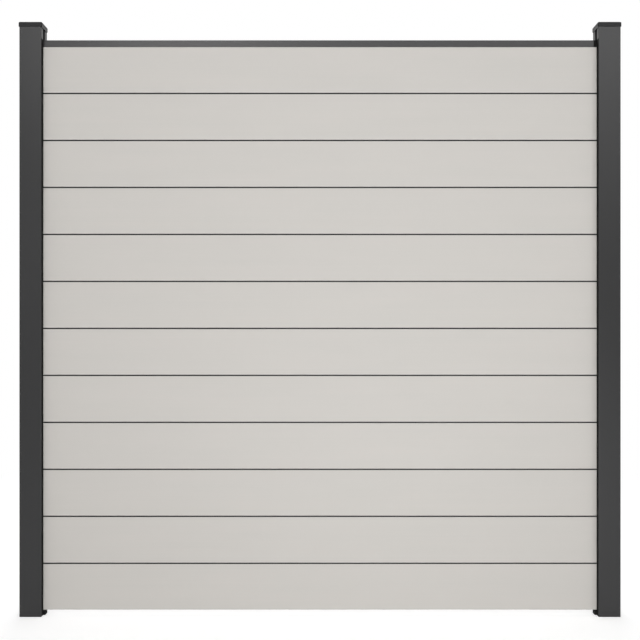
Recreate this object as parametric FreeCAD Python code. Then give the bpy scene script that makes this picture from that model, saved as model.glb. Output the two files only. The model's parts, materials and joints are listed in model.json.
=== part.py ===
"""Garden privacy screen: twelve composite boards stacked between two slotted aluminium posts.

Frame: +X along the screen, +Y away from the viewer, +Z up. The origin is on the ground, midway between
the posts and in the middle of the screen's thickness. All sizes are in millimetres.
"""

import FreeCAD
import Part

import math
import os

# ---------------------------------------------------------------- boards
BOARD_COUNT = 12
BOARD_LENGTH = 1800.0
BOARD_FACE_HEIGHT = 146.0       # what shows of each board
BOARD_THICKNESS = 20.0
BOARD_WALL = 4.0                # outer walls of the hollow board
BOARD_WEB = 4.0                 # webs between its chambers
BOARD_CHAMBERS = 5
BOARD_CHAMBER_RADIUS = 2.0
BOARD_ARRIS = 1.0               # rounding of the long visible edges
JOINT_GAP = 4.0                 # height of the shadow gap between two boards
JOINT_RECESS = 5.0              # depth of that gap from either face
TONGUE_THICKNESS = 8.0
TONGUE_HEIGHT = 9.0
TONGUE_SIDE_CLEARANCE = 0.4
TONGUE_TIP_CLEARANCE = 1.0
TONGUE_TIP_CHAMFER = 1.5

# ---------------------------------------------------------------- how the boards stand
GROUND_GAP = 17.0               # from the ground to the lowest board
BOARD_ENGAGEMENT = 17.0         # how far a board's end goes into its post
EXPANSION_GAP = 5.0             # room beyond a board's end
BOARD_SIDE_GAP = 2.5            # from a board's face to the wall of the post's groove

# ---------------------------------------------------------------- posts
POST_SIZE = 70.0
POST_WALL = 2.0
POST_CORNER_RADIUS = 1.6
POST_ABOVE_RAIL = 45.0          # from the top of the rail to the top of the post
PORT_RADIUS = 2.5               # screw ports for a foot plate
PORT_WALL = 1.8
PORT_SINK = 1.0                 # how far a port's ring merges into the post's wall
PORT_INSET = 14.0               # from the post's side to a port's axis
RIDGE_RADIUS = 0.8              # snap ridges on the walls of the grooves
RIDGE_DEPTH = 7.0

# ---------------------------------------------------------------- seals
SLOT_NECK = 2.4                 # slot in the post's flange that holds a seal
SLOT_HEAD = 5.0
SLOT_HEAD_DEPTH = 2.2
SLOT_WALL = 1.4
SEAL_THICKNESS = 0.8
SEAL_TAIL = 4.0                 # how far the seal reaches into the groove beside the board
SEAL_TIP_RADIUS = 0.8
SEAL_EDGE_RADIUS = 0.4
SEAL_CLEARANCE = 0.15
SEAL_GROUND_GAP = 1.0

# ---------------------------------------------------------------- cover strips
STRIP_THICKNESS = 1.8
STRIP_LEG = 1.5
STRIP_LEG_LENGTH = 9.0
STRIP_CLEARANCE = 0.3

# ---------------------------------------------------------------- caps
CAP_WALL = 2.2
CAP_CLEARANCE = 0.4
CAP_TOP = 3.0
CAP_SHOULDER_HEIGHT = 3.0
CAP_SHOULDER_WIDTH = 2.4
CAP_SKIRT = 8.5                 # how far the cap reaches down over the post
CAP_CORNER_RADIUS = 5.0
CAP_EDGE_RADIUS = 2.8
CAP_FOOT_CHAMFER = 1.2
CAP_PLUG_LENGTH = 22.0
CAP_PLUG_WALL = 1.8
CAP_PLUG_CLEARANCE = 0.3

# ---------------------------------------------------------------- top rail and its end plugs
RAIL_HEIGHT = 22.0
RAIL_WALL = 1.6
RAIL_EDGE_RADIUS = 1.2
RAIL_RIB_HEIGHT = 2.2
RAIL_RIB_CLEARANCE = 0.2
RAIL_SHORTFALL = 9.5            # the rail stops this short of the right post
PLUG_HEAD = 16.0                # length of a plug's head, between the rail and the groove's floor
PLUG_GRIP = 30.0                # how far a plug's nose lies inside the rail
PLUG_CLEARANCE = 0.4

# ---------------------------------------------------------------- stiffener and spacers
STIFFENER_WALL = 1.4
STIFFENER_CLEARANCE = 0.3
SPACER_REACH = 8.0              # how far a spacer stands out of its post
SPACER_CHAMFER = 2.4
SPACER_ROUND = 0.8
SPACER_WALL = 2.6
SPACER_CLEARANCE = 0.3

# ---------------------------------------------------------------- screws
SCREW_RADIUS = 2.1
SCREW_HEAD_RADIUS = 4.0
SCREW_HEAD_HEIGHT = 2.6
SCREW_HEAD_ROUND = 1.2
SCREW_TIP = 3.0
SCREW_REACH = 8.0               # how far a screw passes beyond the post's wall
SCREW_HOLE_CLEARANCE = 0.25
SCREW_BITE_CLEARANCE = 0.05
SCREW_BOSS_WALL = 2.0
DRIVE_RADIUS = 1.3              # six-lobed recess in the head
DRIVE_LOBE = 0.42
DRIVE_DEPTH = 1.6

OVERCUT = 1.0                   # how far a cutting shape passes the face that it opens

# ---------------------------------------------------------------- worked out from the sizes above
BOARD_PITCH = BOARD_FACE_HEIGHT + JOINT_GAP
HALF_BOARD = BOARD_THICKNESS / 2
HALF_SEAT = HALF_BOARD - JOINT_RECESS
HALF_TONGUE = TONGUE_THICKNESS / 2
SLIT_HALF = HALF_TONGUE + TONGUE_SIDE_CLEARANCE
SLIT_DEPTH = TONGUE_HEIGHT + TONGUE_TIP_CLEARANCE

POST_HALF = POST_SIZE / 2
GROOVE_HALF = HALF_BOARD + BOARD_SIDE_GAP
GROOVE_DEPTH = BOARD_ENGAGEMENT + EXPANSION_GAP
WEB_HALF = POST_HALF - GROOVE_DEPTH
PORT_X = POST_HALF - PORT_INSET
PORT_Y = POST_HALF - POST_WALL - PORT_RADIUS - PORT_WALL + PORT_SINK
SLOT_Y = (GROOVE_HALF + POST_HALF) / 2
SEAL_SEAT_END = POST_HALF - POST_CORNER_RADIUS

INNER_FACE = BOARD_LENGTH / 2 - BOARD_ENGAGEMENT      # the side of a post that looks at the boards
POST_X = INNER_FACE + POST_HALF
GROOVE_FLOOR = INNER_FACE + GROOVE_DEPTH

STACK_TOP = GROUND_GAP + BOARD_COUNT * BOARD_PITCH - JOINT_GAP
TONGUE_TOP = STACK_TOP + JOINT_GAP + TONGUE_HEIGHT
RAIL_TOP = STACK_TOP + RAIL_HEIGHT
POST_TOP = RAIL_TOP + POST_ABOVE_RAIL
RAIL_LEFT = -(GROOVE_FLOOR - PLUG_CLEARANCE - PLUG_HEAD)
RAIL_RIGHT = INNER_FACE - RAIL_SHORTFALL
SPACER_SCREW_Z = GROUND_GAP / 2
SPACER_END = INNER_FACE - SPACER_REACH
SPACER_SEAT = SPACER_END + SCREW_HEAD_HEIGHT + SCREW_BOSS_WALL


# ---------------------------------------------------------------- helpers
def vector(x, y, z):
    return FreeCAD.Vector(x, y, z)


def rounded_edges(corners, place):
    """Edges of a closed outline through corners (u, v, radius), placed in space by place(u, v)."""
    turns = []
    for i, (u, v, radius) in enumerate(corners):
        corner = place(u, v)
        before = (place(*corners[i - 1][:2]) - corner).normalize()
        after = (place(*corners[(i + 1) % len(corners)][:2]) - corner).normalize()
        if radius == 0:
            turns.append((corner, None, corner))
            continue
        half_angle = before.getAngle(after) / 2
        cut = radius / math.tan(half_angle)
        inward = (before + after).normalize()
        middle = corner + inward * (radius / math.sin(half_angle) - radius)
        turns.append((corner + before * cut, middle, corner + after * cut))
    edges = []
    for i, (start, middle, end) in enumerate(turns):
        if middle is not None:
            edges.append(Part.Arc(start, middle, end).toShape())
        onward = turns[(i + 1) % len(turns)][0]
        if end.distanceToPoint(onward) > 1e-6:
            edges.append(Part.LineSegment(end, onward).toShape())
    return edges


def prism(corners, place, sweep):
    """The outline through corners, filled and swept along a vector."""
    wire = Part.Wire(rounded_edges(corners, place))
    return Part.Face(wire).extrude(sweep)


def upright(corners, bottom, top):
    """A prism that stands up: corners are (x, y, radius)."""
    return prism(corners, lambda x, y: vector(x, y, bottom), vector(0, 0, top - bottom))


def lengthwise(corners, start, end):
    """A prism along the screen: corners are (y, z, radius)."""
    return prism(corners, lambda y, z: vector(start, y, z), vector(end - start, 0, 0))


def crosswise(corners, half_width):
    """A prism across the screen's thickness: corners are (x, z, radius)."""
    return prism(corners, lambda x, z: vector(x, -half_width, z), vector(0, 2 * half_width, 0))


def box(x0, x1, y0, y1, z0, z1):
    return Part.makeBox(x1 - x0, y1 - y0, z1 - z0, vector(x0, y0, z0))


def square(half, radius):
    """Corners of a rounded square about the post's axis."""
    return [
        (POST_X - half, -half, radius),
        (POST_X + half, -half, radius),
        (POST_X + half, half, radius),
        (POST_X - half, half, radius),
    ]


def both_faces(corners):
    """Adds the mirror image in Y to an open outline of (y, z, radius) on the +Y side, going up."""
    return corners + [(-y, z, radius) for y, z, radius in reversed(corners)]


def joined(first, *others):
    return first.fuse(list(others)).removeSplitter()


def edges_at_height(shape, height):
    """The level edges of a shape that lie at one height."""
    box_of = [(edge, edge.BoundBox) for edge in shape.Edges]
    return [e for e, b in box_of if abs(b.ZMin - height) < 1e-4 and abs(b.ZMax - height) < 1e-4]


def on_the_left(shape):
    return shape.mirror(vector(0, 0, 0), vector(1, 0, 0))


def one_solid(shape):
    """The shape as a single valid solid."""
    solids = shape.Solids
    if len(solids) != 1 or not solids[0].isValid():
        raise ValueError(f"expected one valid solid and found {len(solids)}")
    return solids[0]


# ---------------------------------------------------------------- boards and what closes the stack
def board(bottom):
    """A hollow board: tongue on top, slit below, and a shoulder that holds the shadow gap open."""
    top = bottom + BOARD_FACE_HEIGHT
    seat = top + JOINT_GAP
    tip = seat + TONGUE_HEIGHT
    ends = (-BOARD_LENGTH / 2, BOARD_LENGTH / 2)
    profile = lengthwise(
        both_faces(
            [
                (HALF_BOARD, bottom, BOARD_ARRIS),
                (HALF_BOARD, top, BOARD_ARRIS),
                (HALF_SEAT, top, 0),
                (HALF_SEAT, seat, 0),
                (HALF_TONGUE, seat, 0),
                (HALF_TONGUE, tip - TONGUE_TIP_CHAMFER, 0),
                (HALF_TONGUE - TONGUE_TIP_CHAMFER, tip, 0),
            ]
        ),
        *ends,
    )
    hollows = [box(*ends, -SLIT_HALF, SLIT_HALF, bottom - OVERCUT, bottom + SLIT_DEPTH)]
    half_chamber = HALF_BOARD - BOARD_WALL
    first = bottom + SLIT_DEPTH + BOARD_WALL
    height = (top - BOARD_WALL - first - (BOARD_CHAMBERS - 1) * BOARD_WEB) / BOARD_CHAMBERS
    for i in range(BOARD_CHAMBERS):
        low = first + i * (height + BOARD_WEB)
        corners = both_faces(
            [
                (half_chamber, low, BOARD_CHAMBER_RADIUS),
                (half_chamber, low + height, BOARD_CHAMBER_RADIUS),
            ]
        )
        hollows.append(lengthwise(corners, *ends))
    return profile.cut(hollows)


def top_rail():
    """A channel over the top board's tongue, lying to the left: it stops short of the right post."""
    inside = HALF_BOARD - RAIL_WALL
    rib = HALF_SEAT + RAIL_RIB_CLEARANCE
    hollow = both_faces(
        [
            (rib, STACK_TOP - OVERCUT, 0),
            (rib, STACK_TOP + RAIL_RIB_HEIGHT, 0),
            (inside, STACK_TOP + RAIL_RIB_HEIGHT, 0),
            (inside, RAIL_TOP - RAIL_WALL, 0),
        ]
    )
    return rail_bar(RAIL_LEFT, RAIL_RIGHT).cut(lengthwise(hollow, RAIL_LEFT, RAIL_RIGHT))


def rail_bar(start, end):
    """The rail's outside, filled."""
    outer = [(HALF_BOARD, STACK_TOP, 0), (HALF_BOARD, RAIL_TOP, RAIL_EDGE_RADIUS)]
    return lengthwise(both_faces(outer), start, end)


def rail_plug(rail_end):
    """A moulded plug: its head carries the rail's section on into the post, its nose is in the rail."""
    floor = TONGUE_TOP + PLUG_CLEARANCE
    nose_top = RAIL_TOP - RAIL_WALL - PLUG_CLEARANCE
    nose_half = HALF_BOARD - RAIL_WALL - PLUG_CLEARANCE
    saddle = HALF_SEAT + RAIL_RIB_CLEARANCE
    head_end = rail_end + PLUG_HEAD
    head = rail_bar(rail_end, head_end)
    head = head.cut(box(rail_end, head_end, -saddle, saddle, STACK_TOP - OVERCUT, floor))
    nose = box(rail_end - PLUG_GRIP, rail_end, -nose_half, nose_half, floor, nose_top)
    return joined(head, nose)


def bottom_stiffener():
    """A tube that fills the slit of the lowest board, flush with its underside."""
    half = SLIT_HALF - STIFFENER_CLEARANCE
    top = GROUND_GAP + SLIT_DEPTH - STIFFENER_CLEARANCE
    half_bore = half - STIFFENER_WALL
    ends = (-BOARD_LENGTH / 2, BOARD_LENGTH / 2)
    tube = lengthwise(both_faces([(half, GROUND_GAP, 0), (half, top, 0)]), *ends)
    bore = [(half_bore, GROUND_GAP + STIFFENER_WALL, 0), (half_bore, top - STIFFENER_WALL, 0)]
    return tube.cut(lengthwise(both_faces(bore), *ends))


# ---------------------------------------------------------------- the right post and what belongs to it
def post_outline(wall, corner_radius):
    """The post's section, taken in by a wall: a square with a groove in each side, along X."""
    half = POST_HALF - wall
    groove = GROOVE_HALF + wall
    floor = WEB_HALF - wall
    right = [(floor, groove, 0), (half, groove, 0), (half, half, corner_radius)]
    back = right + [(-x, y, radius) for x, y, radius in reversed(right)]
    front = [(-x, -y, radius) for x, y, radius in back]
    return [(POST_X + x, y, radius) for x, y, radius in back + front]


def seal_slot(side, face, grow):
    """The slot for a seal in one flange, with its neck and head, or the block around it if it grows."""
    x_face = POST_X + side * POST_HALF
    y = face * SLOT_Y
    inner = POST_WALL + SLOT_HEAD_DEPTH + grow
    half_head = SLOT_HEAD / 2 + grow
    x_neck = x_face - side * POST_WALL
    head = box(
        *sorted((x_face - side * inner, x_neck)), y - half_head, y + half_head, 0, POST_TOP
    )
    if grow:
        return head
    x_open = x_face + side * OVERCUT
    neck = box(*sorted((x_open, x_neck)), y - SLOT_NECK / 2, y + SLOT_NECK / 2, 0, POST_TOP)
    return head.fuse(neck)


def seal_seat(side, face):
    """The shallow step in a flange's side where a seal lies flush."""
    x_face = POST_X + side * POST_HALF
    xs = sorted((x_face + side * OVERCUT, x_face - side * SEAL_THICKNESS))
    ys = sorted((face * (GROOVE_HALF - OVERCUT), face * SEAL_SEAT_END))
    return box(*xs, *ys, 0, POST_TOP)


def post_cylinder(x, y, radius):
    return Part.makeCylinder(radius, POST_TOP, vector(POST_X + x, y, 0))


def post():
    """The extruded post: hollow, with a groove for boards on each side, seal slots and screw ports."""
    body = upright(post_outline(0, POST_CORNER_RADIUS), 0, POST_TOP)
    body = body.cut(upright(post_outline(POST_WALL, 0), 0, POST_TOP))
    sides = [(side, face) for side in (-1, 1) for face in (-1, 1)]
    added = []
    removed = []
    for side, face in sides:
        added.append(seal_slot(side, face, SLOT_WALL))
        added.append(post_cylinder(side * PORT_X, face * PORT_Y, PORT_RADIUS + PORT_WALL))
        added.append(
            post_cylinder(side * (POST_HALF - RIDGE_DEPTH), face * GROOVE_HALF, RIDGE_RADIUS)
        )
        removed.append(seal_slot(side, face, 0))
        removed.append(seal_seat(side, face))
        removed.append(post_cylinder(side * PORT_X, face * PORT_Y, PORT_RADIUS))
    screw_hole = Part.makeCylinder(
        SCREW_RADIUS + SCREW_BITE_CLEARANCE,
        POST_WALL + 2 * OVERCUT,
        vector(GROOVE_FLOOR - OVERCUT, 0, SPACER_SCREW_Z),
        vector(1, 0, 0),
    )
    return joined(body, *added).cut([*removed, screw_hole])


def post_cap():
    """A moulded cap: skirt over the post, a shoulder that rests on its end, and two plugs inside."""
    bottom = POST_TOP - CAP_SKIRT
    ceiling = POST_TOP + CAP_SHOULDER_HEIGHT
    top = ceiling + CAP_TOP
    half_inside = POST_HALF + CAP_CLEARANCE
    shell = upright(square(half_inside + CAP_WALL, CAP_CORNER_RADIUS), bottom, top)
    shell = shell.makeFillet(CAP_EDGE_RADIUS, edges_at_height(shell, top))
    shell = shell.makeChamfer(CAP_FOOT_CHAMFER, edges_at_height(shell, bottom))
    skirt = square(half_inside, POST_CORNER_RADIUS)
    recess = square(POST_HALF - CAP_SHOULDER_WIDTH, POST_CORNER_RADIUS)
    shell = shell.cut(upright(skirt, bottom - OVERCUT, POST_TOP))
    shell = shell.cut(upright(recess, POST_TOP - OVERCUT, ceiling))
    half_plug = PORT_X - PORT_RADIUS - PORT_WALL - CAP_PLUG_CLEARANCE
    near = GROOVE_HALF + POST_WALL + CAP_PLUG_CLEARANCE
    far = POST_HALF - POST_WALL - CAP_PLUG_CLEARANCE
    foot = POST_TOP - CAP_PLUG_LENGTH
    plugs = []
    for face in (-1, 1):
        y0, y1 = sorted((face * near, face * far))
        plug = box(POST_X - half_plug, POST_X + half_plug, y0, y1, foot, ceiling + CAP_TOP / 2)
        hollow = box(
            POST_X - half_plug + CAP_PLUG_WALL,
            POST_X + half_plug - CAP_PLUG_WALL,
            y0 + CAP_PLUG_WALL,
            y1 - CAP_PLUG_WALL,
            foot - OVERCUT,
            ceiling,
        )
        plugs.append(plug.cut(hollow))
    return joined(shell, *plugs)


def seal(face):
    """A rubber seal, flush in a flange's side, that fills in beside the boards. face is -1 in front."""
    root_neck = SLOT_NECK / 2 - SEAL_CLEARANCE
    root_head = SLOT_HEAD / 2 - SEAL_CLEARANCE
    head_start = POST_WALL + SEAL_CLEARANCE
    head_end = POST_WALL + SLOT_HEAD_DEPTH - SEAL_CLEARANCE
    edge = SEAL_SEAT_END - SEAL_CLEARANCE
    back = SEAL_THICKNESS
    outline = [
        (0, HALF_BOARD, SEAL_EDGE_RADIUS),
        (SEAL_TAIL, HALF_BOARD, 0),
        (SEAL_TAIL, GROOVE_HALF, SEAL_TIP_RADIUS),
        (back, GROOVE_HALF, 0),
        (back, SLOT_Y - root_neck, 0),
        (head_start, SLOT_Y - root_neck, 0),
        (head_start, SLOT_Y - root_head, 0),
        (head_end, SLOT_Y - root_neck, 0),
        (head_end, SLOT_Y + root_neck, 0),
        (head_start, SLOT_Y + root_head, 0),
        (head_start, SLOT_Y + root_neck, 0),
        (back, SLOT_Y + root_neck, 0),
        (back, edge, 0),
        (0, edge, SEAL_EDGE_RADIUS),
    ]
    corners = [(INNER_FACE + x, face * y, radius) for x, y, radius in outline]
    return upright(corners, SEAL_GROUND_GAP, RAIL_TOP)


def cover_strip():
    """A strip that snaps into the outer groove and lies flush with the post's side."""
    outside = POST_X + POST_HALF
    behind = outside - STRIP_THICKNESS
    half = GROOVE_HALF - STRIP_CLEARANCE
    strip = box(behind, outside, -half, half, 0, POST_TOP)
    legs = []
    notches = []
    for face in (-1, 1):
        y0, y1 = sorted((face * half, face * (half - STRIP_LEG)))
        legs.append(box(behind - STRIP_LEG_LENGTH, behind, y0, y1, 0, POST_TOP))
        notches.append(
            post_cylinder(
                POST_HALF - RIDGE_DEPTH, face * GROOVE_HALF, RIDGE_RADIUS + STRIP_CLEARANCE
            )
        )
    return joined(strip, *legs).cut(notches)


def bottom_spacer():
    """A moulded block in the foot of the groove, between the seals, that carries the boards."""
    half = HALF_BOARD - SPACER_CLEARANCE
    side = [
        (SPACER_END, SPACER_CHAMFER, SPACER_ROUND),
        (SPACER_END, GROUND_GAP, SPACER_ROUND),
        (GROOVE_FLOOR, GROUND_GAP, 0),
        (GROOVE_FLOOR, 0, 0),
        (SPACER_END + SPACER_CHAMFER, 0, SPACER_ROUND),
    ]
    block = crosswise(side, half)
    hollow = box(
        SPACER_SEAT + SCREW_BOSS_WALL,
        GROOVE_FLOOR - SPACER_WALL,
        -half + SPACER_WALL,
        half - SPACER_WALL,
        -OVERCUT,
        GROUND_GAP - SPACER_WALL,
    )
    along = vector(1, 0, 0)
    hole_radius = SCREW_RADIUS + SCREW_HOLE_CLEARANCE
    axis_start = vector(SPACER_SEAT, 0, SPACER_SCREW_Z)
    boss = Part.makeCylinder(
        hole_radius + SCREW_BOSS_WALL, GROOVE_FLOOR - SPACER_SEAT, axis_start, along
    )
    hole = Part.makeCylinder(
        hole_radius, GROOVE_FLOOR - SPACER_END, vector(SPACER_END, 0, SPACER_SCREW_Z), along
    )
    counterbore = Part.makeCylinder(
        SCREW_HEAD_RADIUS + SCREW_HOLE_CLEARANCE,
        SPACER_SEAT - SPACER_END + OVERCUT,
        vector(SPACER_END - OVERCUT, 0, SPACER_SCREW_Z),
        along,
    )
    return joined(block.cut(hollow), boss).cut([hole, counterbore])


def spacer_screw():
    """A pan-head screw along +X that holds the spacer to the floor of the groove."""
    seat = SPACER_SEAT
    height = SPACER_SCREW_Z
    along = vector(1, 0, 0)
    crown = seat - SCREW_HEAD_HEIGHT
    head = Part.makeCylinder(SCREW_HEAD_RADIUS, SCREW_HEAD_HEIGHT, vector(crown, 0, height), along)
    rim = [e for e in head.Edges if e.BoundBox.XMax < crown + 1e-4]
    head = head.makeFillet(SCREW_HEAD_ROUND, rim)
    tip_end = GROOVE_FLOOR + POST_WALL + SCREW_REACH
    shank = Part.makeCylinder(SCREW_RADIUS, tip_end - SCREW_TIP - seat, vector(seat, 0, height), along)
    tip = Part.makeCone(SCREW_RADIUS, 0, SCREW_TIP, vector(tip_end - SCREW_TIP, 0, height), along)
    drive = Part.makeCylinder(DRIVE_RADIUS, DRIVE_DEPTH, vector(crown, 0, height), along)
    lobes = []
    for i in range(6):
        angle = i * math.pi / 3
        centre = vector(
            crown, DRIVE_RADIUS * math.cos(angle), height + DRIVE_RADIUS * math.sin(angle)
        )
        lobes.append(Part.makeCylinder(DRIVE_LOBE, DRIVE_DEPTH, centre, along))
    return joined(head, shank, tip).cut([drive, *lobes])


# ---------------------------------------------------------------- the assembly
def both_sides(name, shape):
    """One piece at each post, as two nodes."""
    return {f"left_{name}": [on_the_left(shape)], f"right_{name}": [shape]}


def assembly():
    """Every node's name with its separate solids."""
    nodes = {}
    for i in range(BOARD_COUNT):
        nodes[f"board_{i + 1:02d}"] = [board(GROUND_GAP + i * BOARD_PITCH)]
    nodes["top_rail"] = [top_rail()]
    nodes["bottom_stiffener"] = [bottom_stiffener()]
    nodes["left_rail_plug"] = [on_the_left(rail_plug(-RAIL_LEFT))]
    nodes["right_rail_plug"] = [rail_plug(RAIL_RIGHT)]
    nodes.update(both_sides("post", post()))
    nodes.update(both_sides("post_cap", post_cap()))
    nodes.update(both_sides("cover_strip", cover_strip()))
    nodes.update(both_sides("front_seal", seal(-1)))
    nodes.update(both_sides("rear_seal", seal(1)))
    nodes.update(both_sides("bottom_spacer", bottom_spacer()))
    nodes["spacer_screws"] = [on_the_left(spacer_screw()), spacer_screw()]
    return nodes


os.makedirs("parts", exist_ok=True)
for node, pieces in assembly().items():
    solids = [one_solid(piece) for piece in pieces]
    shape = solids[0] if len(solids) == 1 else Part.makeCompound(solids)
    shape.exportStep(f"parts/{node}.step")
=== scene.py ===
"""Garden privacy screen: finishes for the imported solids, and its moulded and rubber pieces, floor and light.

Everything is in metres, +X along the screen, +Y away from the viewer, +Z up, with the ground at z = 0.
"""

import json
import math

import bmesh
import bpy
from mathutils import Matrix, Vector


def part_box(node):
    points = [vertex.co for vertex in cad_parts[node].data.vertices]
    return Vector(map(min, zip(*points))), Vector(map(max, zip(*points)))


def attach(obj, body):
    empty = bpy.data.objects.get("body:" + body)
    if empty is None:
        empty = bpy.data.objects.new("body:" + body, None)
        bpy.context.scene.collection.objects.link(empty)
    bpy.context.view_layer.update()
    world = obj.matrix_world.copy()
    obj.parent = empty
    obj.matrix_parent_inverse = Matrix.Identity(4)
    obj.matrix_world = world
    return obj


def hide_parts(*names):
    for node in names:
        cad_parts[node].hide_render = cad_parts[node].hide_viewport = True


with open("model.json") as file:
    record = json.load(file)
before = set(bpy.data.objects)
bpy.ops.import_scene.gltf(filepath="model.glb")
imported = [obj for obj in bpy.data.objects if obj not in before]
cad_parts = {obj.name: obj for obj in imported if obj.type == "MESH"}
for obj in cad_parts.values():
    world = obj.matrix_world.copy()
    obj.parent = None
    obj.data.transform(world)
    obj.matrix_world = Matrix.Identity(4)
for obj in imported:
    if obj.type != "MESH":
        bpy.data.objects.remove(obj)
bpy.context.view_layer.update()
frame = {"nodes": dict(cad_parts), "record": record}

MM = 0.001

# ---------------------------------------------------------------- real sizes
# Read from the solids. What stands at both posts is modelled at the right one.
BOARD_LOW, BOARD_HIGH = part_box("board_01")
BOARD_FACE = BOARD_HIGH.y
POST_LOW, POST_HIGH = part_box("right_post")
CAP_LOW, CAP_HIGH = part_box("right_post_cap")
SEAL_LOW, SEAL_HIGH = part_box("right_front_seal")
SPACER_LOW, SPACER_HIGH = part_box("right_bottom_spacer")
PLUG_LOW, PLUG_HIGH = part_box("right_rail_plug")
RAIL_LOW, RAIL_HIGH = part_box("top_rail")
POST_MIDDLE = (POST_LOW.x + POST_HIGH.x) / 2
POST_HALF = POST_HIGH.y

# The dark core of a board shows in the joints, this far below the face, and not under the lowest board.
# The darkening already starts on the joints' rounded edges. That part is painted shade, which widens their
# shadow lines.
CORE_AND_PAINTED_SHADE_START = 0.15 * MM
CORE_AND_PAINTED_SHADE_FULL = 0.7 * MM
BOARD_UNDERSIDE = 5.0 * MM

# The post's section, which the caps and the seals fit.
GROOVE_HALF = 12.5 * MM
POST_WALL = 2.0 * MM
POST_CORNER_RADIUS = 1.6 * MM

CAP_SKIRT = 8.5 * MM            # how far it reaches down outside the post
CAP_CORNER_RADIUS = 5.0 * MM
CAP_EDGE_RADIUS = 2.8 * MM
CAP_FOOT_CHAMFER = 1.2 * MM
CAP_CLEARANCE = 0.4 * MM
CAP_SHOULDER_WIDTH = 2.4 * MM
CAP_SHOULDER_HEIGHT = 3.0 * MM
CAP_PLUG_HALF = 16.4 * MM
CAP_PLUG_WALL = 1.8 * MM
CAP_PLUG_ROUND = 0.5 * MM
CAP_PLUG_CLEARANCE = 0.3 * MM

SEAL_THICKNESS = 0.8 * MM
SEAL_TAIL = 4.0 * MM
SEAL_NECK_HALF = 1.05 * MM
SEAL_BARB_HALF = 2.35 * MM
SEAL_NECK = 1.35 * MM           # from the seal's back to its barb
SEAL_GROOVES = 5                # fine grooves along the face of a seal
SEAL_GROOVE_WIDTH = 1.1 * MM
SEAL_GROOVE_SLOPE = SEAL_GROOVE_WIDTH / 4
SEAL_GROOVE_DEPTH = 0.3 * MM

SPACER_CHAMFER = 2.4 * MM
SPACER_EDGE_RADIUS = 0.4 * MM
SPACER_WALL = 2.6 * MM
SPACER_BOSS_RADIUS = 4.35 * MM
SPACER_BOSS_MARGIN = 0.8 * MM   # from the block's ends to the boss inside it
SPACER_HOLE_RADIUS = 2.35 * MM
SPACER_BORE_RADIUS = 4.25 * MM  # sinks the head of its screw
SPACER_BORE_DEPTH = 4.6 * MM
SPACER_SCREW_HEIGHT = 8.5 * MM

PLUG_NOSE_MARGIN = 2.0 * MM     # from the rail's outside to the nose inside it
PLUG_SADDLE_HALF = 5.2 * MM     # the plug stands astride the top board's tongue
PLUG_SADDLE_HEIGHT = 13.4 * MM
PLUG_EDGE_RADIUS = 1.2 * MM

OVERCUT = 1.0 * MM              # how far a shape that cuts or joins runs past the face it meets
SAME_PLACE = 0.01 * MM          # two places this near are one

# ---------------------------------------------------------------- how finely the pieces are modelled
UPRIGHT_EDGE_SEGMENTS = 6
EDGE_SEGMENTS = 4
SPACER_EDGE_SEGMENTS = 3
ROD_SIDES = 32
SMOOTH_ANGLE = math.radians(32)
FACING_DOWN = -0.9              # a face looks down if its normal's Z is less than this

# ---------------------------------------------------------------- the photograph's frame
PHOTO_SIZE = 640                # its side, in its pixels
HORIZON_ROW = 340               # the row of the camera's height
CAMERA_DISTANCE = 3.4           # in front of the posts
CAMERA_HEIGHT = 0.878
LENS_MM = 60.35
SENSOR_MM = 36.0


# ---------------------------------------------------------------- nodes
def linear(hex_colour):
    """An sRGB colour such as "#c8c5c0" as linear RGBA."""
    channels = [int(hex_colour[i:i + 2], 16) / 255 for i in (1, 3, 5)]
    return [c / 12.92 if c <= 0.04045 else ((c + 0.055) / 1.055) ** 2.4 for c in channels] + [1]


def add(tree, kind, inputs=None, **settings):
    """Adds a node with its settings. An input takes a value, an output, or a node for its first output."""
    node = tree.nodes.new(kind)
    for name, value in settings.items():
        setattr(node, name, value)
    for name, value in (inputs or {}).items():
        if isinstance(name, str):
            name = next(i for i, socket in enumerate(node.inputs) if socket.enabled and socket.name == name)
        if isinstance(value, bpy.types.Node):
            value = next(socket for socket in value.outputs if socket.enabled)
        if isinstance(value, bpy.types.NodeSocket):
            tree.links.new(value, node.inputs[name])
        else:
            node.inputs[name].default_value = value
    return node


def empty_tree(owner):
    """The node tree of a new material or world, cleared."""
    owner.use_nodes = True
    owner.node_tree.nodes.clear()
    return owner.node_tree


def per_metre(*sizes_mm):
    """How often a pattern of these sizes along X, Y and Z repeats in a metre."""
    return [1 / (size * MM) for size in sizes_mm]


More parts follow.
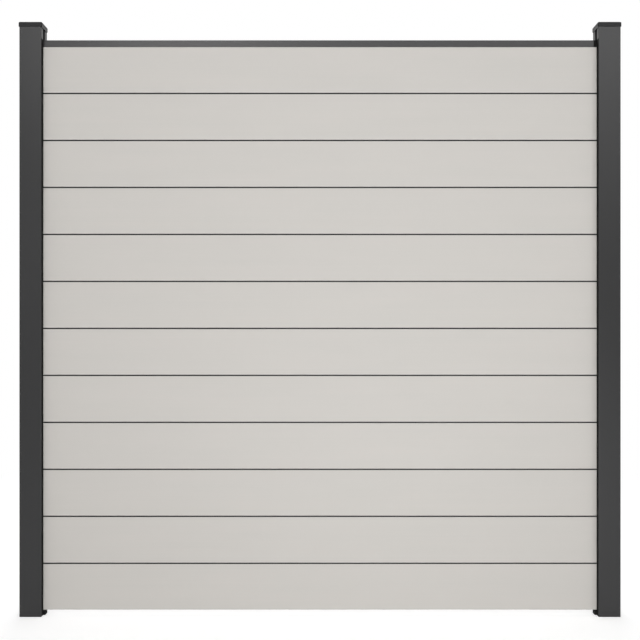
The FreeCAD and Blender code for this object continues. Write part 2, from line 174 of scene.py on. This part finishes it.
# ---------------------------------------------------------------- finishes
def coextruded_composite():
    """Co-extruded wood-plastic composite: a smooth stone-coloured shell over a brown-grey core.

    The shell is satin with fine die lines along the board. The dark core shows in the joints; painted shade
    darkens their edges.
    """
    material = bpy.data.materials.new("coextruded_composite")
    tree = empty_tree(material)
    point = add(tree, "ShaderNodeTexCoord").outputs["Object"]
    # Die lines are finer than a millimetre; they are drawn 1.6 mm apart so that they show.
    stretched = add(tree, "ShaderNodeMapping", {"Vector": point, "Scale": per_metre(900, 40, 1.6)})
    lines = add(tree, "ShaderNodeTexNoise", {"Vector": stretched, "Scale": 1, "Detail": 3})
    drifting = add(tree, "ShaderNodeMapping", {"Vector": point, "Scale": per_metre(420, 200, 60)})
    clouds = add(tree, "ShaderNodeTexNoise", {"Vector": drifting, "Scale": 1, "Detail": 3})
    speckled = add(tree, "ShaderNodeMapping", {"Vector": point, "Scale": per_metre(5, 5, 1.8)})
    specks = add(tree, "ShaderNodeTexNoise", {"Vector": speckled, "Scale": 1, "Detail": 2})
    tone = add(tree, "ShaderNodeMath", {0: lines, 1: clouds}, operation="ADD")
    shade = add(tree, "ShaderNodeMapRange", {"Value": tone, "From Min": 0.7, "From Max": 1.3})
    shell = add(
        tree,
        "ShaderNodeMix",
        {"Factor": shade, "A": linear("#cac7c2"), "B": linear("#cdc9c4")},
        data_type="RGBA",
    )
    place = add(tree, "ShaderNodeSeparateXYZ", {"Vector": point}).outputs
    from_middle = add(tree, "ShaderNodeMath", {0: place["Y"]}, operation="ABSOLUTE")
    # Dark core in the joints, with painted shade on their rounded edges from just below the face.
    core_and_shade_by_depth = add(
        tree,
        "ShaderNodeMapRange",
        {
            "Value": from_middle,
            "From Min": BOARD_FACE - CORE_AND_PAINTED_SHADE_FULL,
            "From Max": BOARD_FACE - CORE_AND_PAINTED_SHADE_START,
            "To Min": 1,
            "To Max": 0,
        },
    )
    # The underside of the lowest board is no joint, and keeps its shell.
    underside_end = BOARD_LOW.z + BOARD_UNDERSIDE
    above = add(tree, "ShaderNodeMath", {0: place["Z"], 1: underside_end}, operation="GREATER_THAN")
    core_and_painted_joint_shade = add(tree, "ShaderNodeMath", {0: core_and_shade_by_depth, 1: above}, operation="MULTIPLY")
    # The core's colour also stands in for the shade on the joints' rounded edges.
    colour = add(
        tree, "ShaderNodeMix", {"Factor": core_and_painted_joint_shade, "A": shell, "B": linear("#1d1b19")}, data_type="RGBA"
    )
    satin = add(
        tree,
        "ShaderNodeMapRange",
        {"Value": lines, "From Min": 0.3, "From Max": 0.7, "To Min": 0.48, "To Max": 0.56},
    )
    drawn = add(tree, "ShaderNodeBump", {"Height": lines, "Distance": 0.04 * MM, "Strength": 1})
    flecked = add(
        tree, "ShaderNodeBump", {"Height": specks, "Distance": 0.02 * MM, "Strength": 1, "Normal": drawn}
    )
    shader = add(
        tree,
        "ShaderNodeBsdfPrincipled",
        {"Base Color": colour, "Roughness": satin, "IOR": 1.48, "Normal": flecked},
    )
    add(tree, "ShaderNodeOutputMaterial", {"Surface": shader})
    return material


def powder_coat(name, sawn_axis):
    """Polyester powder coat in anthracite, baked on an aluminium profile: an even, pebbled satin film.

    The profile is sawn to length afterwards, so bare bright metal shows on its ends, square to sawn_axis.
    """
    material = bpy.data.materials.new(name)
    tree = empty_tree(material)
    place = add(tree, "ShaderNodeTexCoord").outputs
    pebbled = add(tree, "ShaderNodeMapping", {"Vector": place["Object"], "Scale": per_metre(1.2, 1.2, 1.2)})
    pebbles = add(tree, "ShaderNodeTexNoise", {"Vector": pebbled, "Scale": 1, "Detail": 2})
    wavy = add(tree, "ShaderNodeMapping", {"Vector": place["Object"], "Scale": per_metre(7, 7, 7)})
    waves = add(tree, "ShaderNodeTexNoise", {"Vector": wavy, "Scale": 1, "Detail": 1})
    shade = add(tree, "ShaderNodeMapRange", {"Value": pebbles, "From Min": 0.35, "From Max": 0.65})
    film = add(
        tree,
        "ShaderNodeMix",
        {"Factor": shade, "A": linear("#1b1b1c"), "B": linear("#1f1f20")},
        data_type="RGBA",
    )
    facing = add(tree, "ShaderNodeSeparateXYZ", {"Vector": place["Normal"]}).outputs[sawn_axis]
    square_on = add(tree, "ShaderNodeMath", {0: facing}, operation="ABSOLUTE")
    sawn = add(tree, "ShaderNodeMath", {0: square_on, 1: 0.95}, operation="GREATER_THAN")
    colour = add(
        tree, "ShaderNodeMix", {"Factor": sawn, "A": film, "B": linear("#b9babb")}, data_type="RGBA"
    )
    satin = add(
        tree,
        "ShaderNodeMapRange",
        {"Value": pebbles, "From Min": 0.3, "From Max": 0.7, "To Min": 0.31, "To Max": 0.37},
    )
    rolling = add(tree, "ShaderNodeBump", {"Height": waves, "Distance": 0.025 * MM, "Strength": 1})
    pebbly = add(
        tree, "ShaderNodeBump", {"Height": pebbles, "Distance": 0.03 * MM, "Strength": 1, "Normal": rolling}
    )
    shader = add(
        tree,
        "ShaderNodeBsdfPrincipled",
        {"Base Color": colour, "Metallic": sawn, "Roughness": satin, "IOR": 1.5, "Normal": pebbly},
    )
    add(tree, "ShaderNodeOutputMaterial", {"Surface": shader})
    return material


def moulded_abs():
    """Injection-moulded ABS in dark grey: a fine spark-eroded grain, duller and darker than the coat."""
    material = bpy.data.materials.new("moulded_abs_dark_grey")
    tree = empty_tree(material)
    point = add(tree, "ShaderNodeTexCoord").outputs["Object"]
    # The grain is about 0.1 mm in the mould; it is drawn 0.7 mm wide so that it shows.
    grained = add(tree, "ShaderNodeMapping", {"Vector": point, "Scale": per_metre(0.7, 0.7, 0.7)})
    grain = add(tree, "ShaderNodeTexNoise", {"Vector": grained, "Scale": 1, "Detail": 3})
    shade = add(tree, "ShaderNodeMapRange", {"Value": grain, "From Min": 0.35, "From Max": 0.65})
    colour = add(
        tree,
        "ShaderNodeMix",
        {"Factor": shade, "A": linear("#181819"), "B": linear("#1d1d1e")},
        data_type="RGBA",
    )
    dull = add(
        tree,
        "ShaderNodeMapRange",
        {"Value": grain, "From Min": 0.3, "From Max": 0.7, "To Min": 0.54, "To Max": 0.64},
    )
    grainy = add(tree, "ShaderNodeBump", {"Height": grain, "Distance": 0.03 * MM, "Strength": 1})
    shader = add(
        tree,
        "ShaderNodeBsdfPrincipled",
        {"Base Color": colour, "Roughness": dull, "IOR": 1.45, "Normal": grainy},
    )
    add(tree, "ShaderNodeOutputMaterial", {"Surface": shader})
    return material


def extruded_epdm():
    """Extruded EPDM rubber: black and dull, with faint lines from the die and a slight grey bloom."""
    material = bpy.data.materials.new("extruded_epdm_rubber")
    tree = empty_tree(material)
    point = add(tree, "ShaderNodeTexCoord").outputs["Object"]
    drawn = add(tree, "ShaderNodeMapping", {"Vector": point, "Scale": per_metre(0.8, 0.8, 400)})
    lines = add(tree, "ShaderNodeTexNoise", {"Vector": drawn, "Scale": 1, "Detail": 2})
    hazy = add(tree, "ShaderNodeMapping", {"Vector": point, "Scale": per_metre(30, 30, 120)})
    bloom = add(tree, "ShaderNodeTexNoise", {"Vector": hazy, "Scale": 1, "Detail": 3})
    shade = add(tree, "ShaderNodeMapRange", {"Value": bloom, "From Min": 0.4, "From Max": 0.75})
    colour = add(
        tree,
        "ShaderNodeMix",
        {"Factor": shade, "A": linear("#050504"), "B": linear("#090807")},
        data_type="RGBA",
    )
    dull = add(
        tree,
        "ShaderNodeMapRange",
        {"Value": lines, "From Min": 0.3, "From Max": 0.7, "To Min": 0.84, "To Max": 0.94},
    )
    lined = add(tree, "ShaderNodeBump", {"Height": lines, "Distance": 0.04 * MM, "Strength": 1})
    shader = add(
        tree,
        "ShaderNodeBsdfPrincipled",
        {"Base Color": colour, "Roughness": dull, "IOR": 1.3, "Normal": lined},
    )
    add(tree, "ShaderNodeOutputMaterial", {"Surface": shader})
    return material


def moulded_polypropylene():
    """Moulded polypropylene, coloured black through: dull, with a coarse moulded grain."""
    material = bpy.data.materials.new("moulded_polypropylene_black")
    tree = empty_tree(material)
    point = add(tree, "ShaderNodeTexCoord").outputs["Object"]
    grained = add(tree, "ShaderNodeMapping", {"Vector": point, "Scale": per_metre(0.9, 0.9, 0.9)})
    grain = add(tree, "ShaderNodeTexNoise", {"Vector": grained, "Scale": 1, "Detail": 3})
    shade = add(tree, "ShaderNodeMapRange", {"Value": grain, "From Min": 0.35, "From Max": 0.65})
    colour = add(
        tree,
        "ShaderNodeMix",
        {"Factor": shade, "A": linear("#040404"), "B": linear("#080807")},
        data_type="RGBA",
    )
    dull = add(
        tree,
        "ShaderNodeMapRange",
        {"Value": grain, "From Min": 0.3, "From Max": 0.7, "To Min": 0.66, "To Max": 0.78},
    )
    grainy = add(tree, "ShaderNodeBump", {"Height": grain, "Distance": 0.04 * MM, "Strength": 1})
    shader = add(
        tree,
        "ShaderNodeBsdfPrincipled",
        {"Base Color": colour, "Roughness": dull, "IOR": 1.34, "Normal": grainy},
    )
    add(tree, "ShaderNodeOutputMaterial", {"Surface": shader})
    return material


def mill_finish_aluminium():
    """Bare extruded aluminium, as it leaves the press: grey-white with die lines along its length."""
    material = bpy.data.materials.new("mill_finish_aluminium")
    tree = empty_tree(material)
    point = add(tree, "ShaderNodeTexCoord").outputs["Object"]
    drawn = add(tree, "ShaderNodeMapping", {"Vector": point, "Scale": per_metre(500, 0.6, 0.6)})
    lines = add(tree, "ShaderNodeTexNoise", {"Vector": drawn, "Scale": 1, "Detail": 3})
    colour = add(
        tree,
        "ShaderNodeMix",
        {"Factor": lines, "A": linear("#b4b6b8"), "B": linear("#c9cbcc")},
        data_type="RGBA",
    )
    polish = add(
        tree,
        "ShaderNodeMapRange",
        {"Value": lines, "From Min": 0.3, "From Max": 0.7, "To Min": 0.30, "To Max": 0.45},
    )
    lined = add(tree, "ShaderNodeBump", {"Height": lines, "Distance": 0.02 * MM, "Strength": 1})
    shader = add(
        tree,
        "ShaderNodeBsdfPrincipled",
        {"Base Color": colour, "Metallic": 1, "Roughness": polish, "Normal": lined},
    )
    add(tree, "ShaderNodeOutputMaterial", {"Surface": shader})
    return material


def stainless_steel():
    """Cold-headed stainless steel: bright, with a slightly scuffed head."""
    material = bpy.data.materials.new("stainless_steel")
    tree = empty_tree(material)
    point = add(tree, "ShaderNodeTexCoord").outputs["Object"]
    rubbed = add(tree, "ShaderNodeMapping", {"Vector": point, "Scale": per_metre(1.5, 1.5, 1.5)})
    scuffs = add(tree, "ShaderNodeTexNoise", {"Vector": rubbed, "Scale": 1, "Detail": 4})
    colour = add(
        tree,
        "ShaderNodeMix",
        {"Factor": scuffs, "A": linear("#a9a8a6"), "B": linear("#c4c3c0")},
        data_type="RGBA",
    )
    polish = add(
        tree,
        "ShaderNodeMapRange",
        {"Value": scuffs, "From Min": 0.3, "From Max": 0.7, "To Min": 0.22, "To Max": 0.38},
    )
    shader = add(
        tree, "ShaderNodeBsdfPrincipled", {"Base Color": colour, "Metallic": 1, "Roughness": polish}
    )
    add(tree, "ShaderNodeOutputMaterial", {"Surface": shader})
    return material


FINISHES = {
    "board_composite": coextruded_composite(),
    "powder_coat": powder_coat("anthracite_powder_coat_on_post", "Z"),
    "cap_plastic": moulded_abs(),
    "seal_rubber": extruded_epdm(),
    "black_plastic": moulded_polypropylene(),
    "mill_aluminium": mill_finish_aluminium(),
    "screw_steel": stainless_steel(),
}
RAIL_FINISH = powder_coat("anthracite_powder_coat_on_rail", "X")


def dress_nodes():
    """Gives every solid the finish of its slot in the record."""
    for part in frame["record"]["subparts"]:
        finish = RAIL_FINISH if part["node"] == "top_rail" else FINISHES[part["material_slot"]]
        for place in frame["nodes"][part["node"]].material_slots:
            place.link = "OBJECT"
            place.material = finish


# ---------------------------------------------------------------- modelling
def select_nothing():
    """Leaves edit mode, with no object selected."""
    if bpy.context.mode == "EDIT_MESH":
        bpy.ops.object.mode_set(mode="OBJECT")
    bpy.ops.object.select_all(action="DESELECT")


def only(piece):
    """Leaves edit mode, with one object selected and active."""
    select_nothing()
    piece.select_set(True)
    bpy.context.view_layer.objects.active = piece


def block(name, low, high):
    """A box from one corner to the other, in edit mode with nothing selected."""
    low = Vector(low)
    high = Vector(high)
    select_nothing()
    bpy.ops.mesh.primitive_cube_add(size=1, location=(low + high) / 2)
    piece = bpy.context.object
    piece.name = name
    piece.data.name = name
    piece.scale = high - low
    bpy.ops.object.transform_apply(location=True, rotation=False, scale=True)
    bpy.ops.object.mode_set(mode="EDIT")
    bpy.ops.mesh.select_all(action="DESELECT")
    return piece


def upright_block(name, low, high, radius):
    """A box with rounded upright edges, in edit mode."""
    made = block(name, low, high)
    pick("EDGE", lambda start, end: near(start.x, end.x) and near(start.y, end.y))
    bpy.ops.mesh.bevel(offset=radius, segments=UPRIGHT_EDGE_SEGMENTS)
    return made


def rod(name, start, end, radius):
    """A cylinder along X between two points."""
    select_nothing()
    bpy.ops.mesh.primitive_cylinder_add(
        vertices=ROD_SIDES,
        radius=radius,
        depth=(end - start).length,
        location=(start + end) / 2,
        rotation=(0, math.pi / 2, 0),
    )
    piece = bpy.context.object
    piece.name = name
    bpy.ops.object.transform_apply(location=True, rotation=True, scale=True)
    return piece


def near(first, second):
    return abs(first - second) < SAME_PLACE


def at(**places):
    """A test for pick: both ends of an edge lie at these coordinates, such as z=0.5."""
    return lambda *ends: all(near(getattr(end, axis), places[axis]) for end in ends for axis in places)


def pick(mode, passes):
    """Selects in edit mode what passes a test: an EDGE by its two ends, a FACE by its middle and normal."""
    bpy.ops.mesh.select_mode(type=mode)
    bpy.ops.mesh.select_all(action="DESELECT")
    mesh = bmesh.from_edit_mesh(bpy.context.object.data)
    mesh.normal_update()
    if mode == "EDGE":
        for edge in mesh.edges:
            edge.select_set(passes(*[corner.co for corner in edge.verts]))
    else:
        for face in mesh.faces:
            face.select_set(passes(face.calc_center_median(), face.normal))
    bmesh.update_edit_mesh(bpy.context.object.data)


def push(x=0, y=0, z=0):
    """Extrudes the selected faces by a distance."""
    bpy.ops.mesh.extrude_region_move(TRANSFORM_OT_translate={"value": (x, y, z)})


def slice_across(y):
    """Cuts a piece in edit mode by a plane at y, and leaves both sides joined along the new edges."""
    bpy.ops.mesh.select_all(action="SELECT")
    bpy.ops.mesh.bisect(plane_co=(0, y, 0), plane_no=(0, 1, 0))


def combine(piece, other, operation):
    """Joins another solid to a piece (UNION) or cuts it out (DIFFERENCE), and removes it."""
    only(piece)
    modifier = piece.modifiers.new("combine", "BOOLEAN")
    modifier.object = other
    modifier.operation = operation
    modifier.solver = "EXACT"
    bpy.ops.object.modifier_apply(modifier=modifier.name)
    bpy.data.objects.remove(other)


def mirrored(piece, name, across):
    """A copy with its own mesh, mirrored across the planes where across has -1."""
    only(piece)
    bpy.ops.object.duplicate()
    copy = bpy.context.object
    copy.name = name
    copy.data.name = name
    copy.scale = across
    bpy.ops.object.transform_apply(location=False, rotation=False, scale=True)
    bpy.ops.object.mode_set(mode="EDIT")
    bpy.ops.mesh.select_all(action="SELECT")
    bpy.ops.mesh.normals_make_consistent(inside=False)
    bpy.ops.object.mode_set(mode="OBJECT")
    return copy


def fit(piece, node, slot):
    """Puts a finished piece in a solid's place: smooth over its rounded edges, and in the slot's finish."""
    only(piece)
    bpy.ops.object.shade_smooth_by_angle(angle=SMOOTH_ANGLE)
    weighting = piece.modifiers.new("flat_faces_stay_flat", "WEIGHTED_NORMAL")
    weighting.keep_sharp = True
    bpy.ops.object.modifier_apply(modifier=weighting.name)
    piece.data.materials.clear()
    piece.data.materials.append(FINISHES[slot])
    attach(piece, "root")
    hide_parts(node)


def fit_pair(piece, node, slot):
    """The right-hand piece and its copy on the left."""
    fit(mirrored(piece, f"left_{node}_moulding", (-1, 1, 1)), f"left_{node}", slot)
    fit(piece, f"right_{node}", slot)


def post_caps():
    """Moulded caps: a rounded plate with a skirt round the post, and two hollow plugs inside."""
    foot = CAP_LOW.z
    skirt_foot = POST_HIGH.z - CAP_SKIRT
    ceiling = POST_HIGH.z + CAP_SHOULDER_HEIGHT
    low = (CAP_LOW.x, CAP_LOW.y, skirt_foot)
    cap = upright_block("right_post_cap_moulding", low, CAP_HIGH, CAP_CORNER_RADIUS)
    pick("EDGE", at(z=CAP_HIGH.z))
    bpy.ops.mesh.bevel(offset=CAP_EDGE_RADIUS, segments=EDGE_SEGMENTS)
    pick("EDGE", at(z=skirt_foot))
    bpy.ops.mesh.bevel(offset=CAP_FOOT_CHAMFER, segments=1)
    skirt = POST_HALF + CAP_CLEARANCE
    recess = POST_HALF - CAP_SHOULDER_WIDTH
    for half, bottom, top in ((skirt, foot, POST_HIGH.z), (recess, foot, ceiling)):
        low = (POST_MIDDLE - half, -half, bottom)
        high = (POST_MIDDLE + half, half, top)
        combine(cap, upright_block("hollow", low, high, POST_CORNER_RADIUS), "DIFFERENCE")
    near_side = GROOVE_HALF + POST_WALL + CAP_PLUG_CLEARANCE
    far_side = POST_HALF - POST_WALL - CAP_PLUG_CLEARANCE
    for face in (-1, 1):
        y0, y1 = sorted((face * near_side, face * far_side))
        low = (POST_MIDDLE - CAP_PLUG_HALF, y0, foot)
        high = (POST_MIDDLE + CAP_PLUG_HALF, y1, ceiling + OVERCUT)
        plug = upright_block("plug", low, high, CAP_PLUG_ROUND)
        pick("FACE", lambda middle, normal: near(middle.z, foot))
        bpy.ops.mesh.inset(thickness=CAP_PLUG_WALL)
        push(z=ceiling - foot)
        combine(cap, plug, "UNION")
    fit_pair(cap, "post_cap", "cap_plastic")


def seals():
    """Rubber seals: a thin grooved strip on the post's inner side, a tail beside the board, a barbed root."""
    face_side = SEAL_LOW.x
    back_side = face_side + SEAL_THICKNESS
    seal = block("right_front_seal_rubber", SEAL_LOW, (back_side, SEAL_HIGH.y, SEAL_HIGH.z))
    root = -(GROOVE_HALF + POST_HALF) / 2
    for y in (-GROOVE_HALF, root - SEAL_NECK_HALF, root + SEAL_NECK_HALF):
        slice_across(y)
    pick("FACE", lambda middle, normal: near(middle.x, back_side) and middle.y > -GROOVE_HALF)
    push(x=SEAL_TAIL - SEAL_THICKNESS)
    pick("FACE", lambda middle, normal: near(middle.x, back_side) and near(middle.y, root))
    push(x=SEAL_NECK)
    # A push by nothing leaves a second ring in the same place, which is widened to the barb's shoulder.
    push()
    barb = SEAL_BARB_HALF / SEAL_NECK_HALF
    bpy.ops.transform.resize(value=(1, barb, 1), center_override=(back_side + SEAL_NECK, root, 0))
    push(x=SEAL_HIGH.x - back_side - SEAL_NECK)
    bpy.ops.transform.resize(value=(1, 1 / barb, 1), center_override=(SEAL_HIGH.x, root, 0))
    width = SEAL_HIGH.y - SEAL_LOW.y
    spacing = width / (SEAL_GROOVES + 1)
    middles = [SEAL_LOW.y + spacing * (i + 1) for i in range(SEAL_GROOVES)]
    for middle in middles:
        slice_across(middle - SEAL_GROOVE_WIDTH / 2)
        slice_across(middle + SEAL_GROOVE_WIDTH / 2)

    def is_groove(middle, normal):
        return near(middle.x, face_side) and any(near(middle.y, y) for y in middles)

    pick("FACE", is_groove)
    bpy.ops.mesh.inset(thickness=SEAL_GROOVE_SLOPE, depth=-SEAL_GROOVE_DEPTH, use_boundary=True)
    copies = {"left_front_seal": (-1, 1, 1), "left_rear_seal": (-1, -1, 1), "right_rear_seal": (1, -1, 1)}
    for node, across in copies.items():
        fit(mirrored(seal, f"{node}_rubber", across), node, "seal_rubber")
    fit(seal, "right_front_seal", "seal_rubber")


def spacers():
    """Moulded blocks under the boards' ends: rounded outside, hollow below, with a boss for the screw."""
    spacer = block("right_bottom_spacer_moulding", SPACER_LOW, SPACER_HIGH)
    inner_end = SPACER_LOW.x
    pick("EDGE", at(x=inner_end, z=SPACER_LOW.z))
    bpy.ops.mesh.bevel(offset=SPACER_CHAMFER, segments=1)
    pick("EDGE", at(x=inner_end))
    bpy.ops.mesh.bevel(offset=SPACER_EDGE_RADIUS, segments=SPACER_EDGE_SEGMENTS)
    pick("FACE", lambda middle, normal: near(middle.z, SPACER_LOW.z) and normal.z < FACING_DOWN)
    bpy.ops.mesh.inset(thickness=SPACER_WALL)
    push(z=SPACER_HIGH.z - SPACER_LOW.z - SPACER_WALL)
    axis_start = Vector((inner_end, 0, SPACER_SCREW_HEIGHT))
    axis_end = Vector((SPACER_HIGH.x, 0, SPACER_SCREW_HEIGHT))
    beyond = Vector((OVERCUT, 0, 0))
    within = Vector((SPACER_BOSS_MARGIN, 0, 0))
    combine(spacer, rod("boss", axis_start + within, axis_end - within, SPACER_BOSS_RADIUS), "UNION")
    combine(spacer, rod("hole", axis_start - beyond, axis_end + beyond, SPACER_HOLE_RADIUS), "DIFFERENCE")
    bore_end = axis_start + Vector((SPACER_BORE_DEPTH, 0, 0))
    combine(spacer, rod("bore", axis_start - beyond, bore_end, SPACER_BORE_RADIUS), "DIFFERENCE")
    fit_pair(spacer, "bottom_spacer", "black_plastic")


def rail_plugs():
    """Moulded plugs at the rail's ends: a head with the rail's section, and a nose inside the rail."""
    head_start = RAIL_HIGH.x
    plug = block("right_rail_plug_moulding", (head_start, PLUG_LOW.y, RAIL_LOW.z), PLUG_HIGH)
    at_top = at(z=RAIL_HIGH.z)
    pick("EDGE", lambda start, end: at_top(start, end) and near(start.y, end.y))
    bpy.ops.mesh.bevel(offset=PLUG_EDGE_RADIUS, segments=EDGE_SEGMENTS)
    saddle_top = RAIL_LOW.z + PLUG_SADDLE_HEIGHT
    low = (head_start - OVERCUT, -PLUG_SADDLE_HALF, RAIL_LOW.z - OVERCUT)
    high = (PLUG_HIGH.x + OVERCUT, PLUG_SADDLE_HALF, saddle_top)
    combine(plug, block("saddle", low, high), "DIFFERENCE")
    half = PLUG_HIGH.y - PLUG_NOSE_MARGIN
    low = (PLUG_LOW.x, -half, saddle_top)
    high = (head_start + OVERCUT, half, RAIL_HIGH.z - PLUG_NOSE_MARGIN)
    combine(plug, block("nose", low, high), "UNION")
    left_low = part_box("left_rail_plug")[0]
    left_plug = mirrored(plug, "left_rail_plug_moulding", (-1, 1, 1))
    left_plug.location.x = left_low.x + PLUG_HIGH.x
    bpy.ops.object.transform_apply(location=True, rotation=False, scale=False)
    fit(left_plug, "left_rail_plug", "black_plastic")
    fit(plug, "right_rail_plug", "black_plastic")


# ---------------------------------------------------------------- floor, light and camera
FLOOR_SIZE = 60.0
FLOOR_CLEAR_START = 1.6         # from here on the floor fades to plain white
FLOOR_CLEAR_END = 4.0
FLOOR_GLOW = 0.5                # its own light, so that only the shadow is less than white
ROOM_LIGHT = 0.35               # the room's strength on a dull surface
ROOM_IN_FRONT = 0.12            # its strength in a reflection that looks to the front
ROOM_BEHIND = 0.9               # and in one that looks to the back
ROOM_FRONT_END = -0.2           # Y of the direction where the first ends
ROOM_BACK_START = 0.4           # and where the second starts

# Each soft box has a name, place, aim, width, height and watts. The boards get even light from beside the
# camera and from below it, the posts' tops mirror the wide one above, and the rail has one for its highlight.
# Two light the back.
SCREEN_MIDDLE = (0, 0, RAIL_HIGH.z / 2)
SOFT_BOXES = (
    ("front", (0.5, -5.5, 0.5), SCREEN_MIDDLE, 1.2, 0.8, 26),
    ("left_front", (-2.3, -5.5, 1.6), SCREEN_MIDDLE, 0.9, 1.0, 8),
    ("right_front", (2.3, -5.5, 2.3), SCREEN_MIDDLE, 0.9, 0.8, 8),
    ("low_front", (0.3, -2.9, 0.12), (0.2, 0, 0.15), 1.2, 0.24, 20),
    ("over_front", (0.5, -4.5, 3.4), SCREEN_MIDDLE, 6.0, 1.1, 93),
    ("rail_highlight", (-1.0, -4.5, 3.2), SCREEN_MIDDLE, 0.9, 0.7, 17),
    ("over_back", (0, 3.5, 5.0), SCREEN_MIDDLE, 4.0, 2.0, 80),
    ("back", (-0.5, 5.0, 0.6), SCREEN_MIDDLE, 1.6, 0.9, 75),
)


def ray_kinds(tree):
    """Two outputs, each 1 or 0: a ray from the camera, and a ray that a surface mirrors or lets through."""
    path = add(tree, "ShaderNodeLightPath").outputs
    either = {0: path["Is Glossy Ray"], 1: path["Is Transmission Ray"]}
    return path["Is Camera Ray"], add(tree, "ShaderNodeMath", either, operation="MAXIMUM")


def floor():
    """A plain pale floor that keeps the screen's shadow and is white further out."""
    select_nothing()
    bpy.ops.mesh.primitive_plane_add(size=FLOOR_SIZE, location=(0, 0, 0))
    ground = bpy.context.object
    ground.name = "studio_floor"
    material = bpy.data.materials.new("white_studio_floor")
    tree = empty_tree(material)
    paint = add(tree, "ShaderNodeBsdfDiffuse", {"Color": linear("#e6e6e6")})
    lift = add(tree, "ShaderNodeEmission", {"Color": linear("#ffffff"), "Strength": FLOOR_GLOW})
    close_by = add(tree, "ShaderNodeAddShader", {0: paint, 1: lift})
    white = add(tree, "ShaderNodeEmission", {"Color": linear("#ffffff"), "Strength": 1})
    point = add(tree, "ShaderNodeTexCoord").outputs["Object"]
    distance = add(tree, "ShaderNodeVectorMath", {0: point}, operation="LENGTH").outputs["Value"]
    far = add(
        tree,
        "ShaderNodeMapRange",
        {"Value": distance, "From Min": FLOOR_CLEAR_START, "From Max": FLOOR_CLEAR_END},
    )
    shown = add(tree, "ShaderNodeMixShader", {0: far, 1: close_by, 2: white})
    dull = add(tree, "ShaderNodeBsdfDiffuse", {"Color": linear("#bcbcbc")})
    camera_ray, mirrored_ray = ray_kinds(tree)
    seen = add(tree, "ShaderNodeMath", {0: camera_ray, 1: mirrored_ray}, operation="MAXIMUM")
    surface = add(tree, "ShaderNodeMixShader", {0: seen, 1: dull, 2: shown})
    add(tree, "ShaderNodeOutputMaterial", {"Surface": surface})
    ground.data.materials.append(material)


def room():
    """A pale room: white to the eye, and in reflections pale behind the screen and dim in front of it."""
    world = bpy.data.worlds.new("studio")
    bpy.context.scene.world = world
    tree = empty_tree(world)
    seen_in = add(tree, "ShaderNodeTexCoord").outputs["Generated"]
    direction = add(tree, "ShaderNodeSeparateXYZ", {"Vector": seen_in}).outputs
    reflected = add(
        tree,
        "ShaderNodeMapRange",
        {
            "Value": direction["Y"],
            "From Min": ROOM_FRONT_END,
            "From Max": ROOM_BACK_START,
            "To Min": ROOM_IN_FRONT,
            "To Max": ROOM_BEHIND,
        },
    )
    camera_ray, mirrored_ray = ray_kinds(tree)
    unseen = add(tree, "ShaderNodeMix", {"Factor": mirrored_ray, "A": ROOM_LIGHT, "B": reflected})
    strength = add(tree, "ShaderNodeMix", {"Factor": camera_ray, "A": unseen, "B": 1})
    background = add(tree, "ShaderNodeBackground", {"Color": linear("#ffffff"), "Strength": strength})
    add(tree, "ShaderNodeOutputWorld", {"Surface": background})


def soft_light(name, place, aim, width, height, watts):
    """A rectangular soft box."""
    lamp = bpy.data.lights.new(name, "AREA")
    lamp.shape = "RECTANGLE"
    lamp.size = width
    lamp.size_y = height
    lamp.energy = watts
    box = bpy.data.objects.new(name, lamp)
    box.location = place
    box.rotation_euler = (Vector(aim) - Vector(place)).to_track_quat("-Z", "Y").to_euler()
    bpy.context.scene.collection.objects.link(box)


def camera():
    """A level camera in front of the middle; the lens is shifted up, so the uprights stay upright."""
    data = bpy.data.cameras.new("camera")
    data.lens = LENS_MM
    data.sensor_width = SENSOR_MM
    data.shift_y = (HORIZON_ROW - PHOTO_SIZE / 2) / PHOTO_SIZE
    seen_from = bpy.data.objects.new("camera", data)
    seen_from.location = (0, -POST_HALF - CAMERA_DISTANCE, CAMERA_HEIGHT)
    seen_from.rotation_euler = (math.radians(90), 0, 0)
    bpy.context.scene.collection.objects.link(seen_from)
    bpy.context.scene.camera = seen_from


dress_nodes()
post_caps()
seals()
spacers()
rail_plugs()
floor()
room()
for soft_box in SOFT_BOXES:
    soft_light(*soft_box)
camera()
bpy.context.scene.view_settings.view_transform = "Standard"
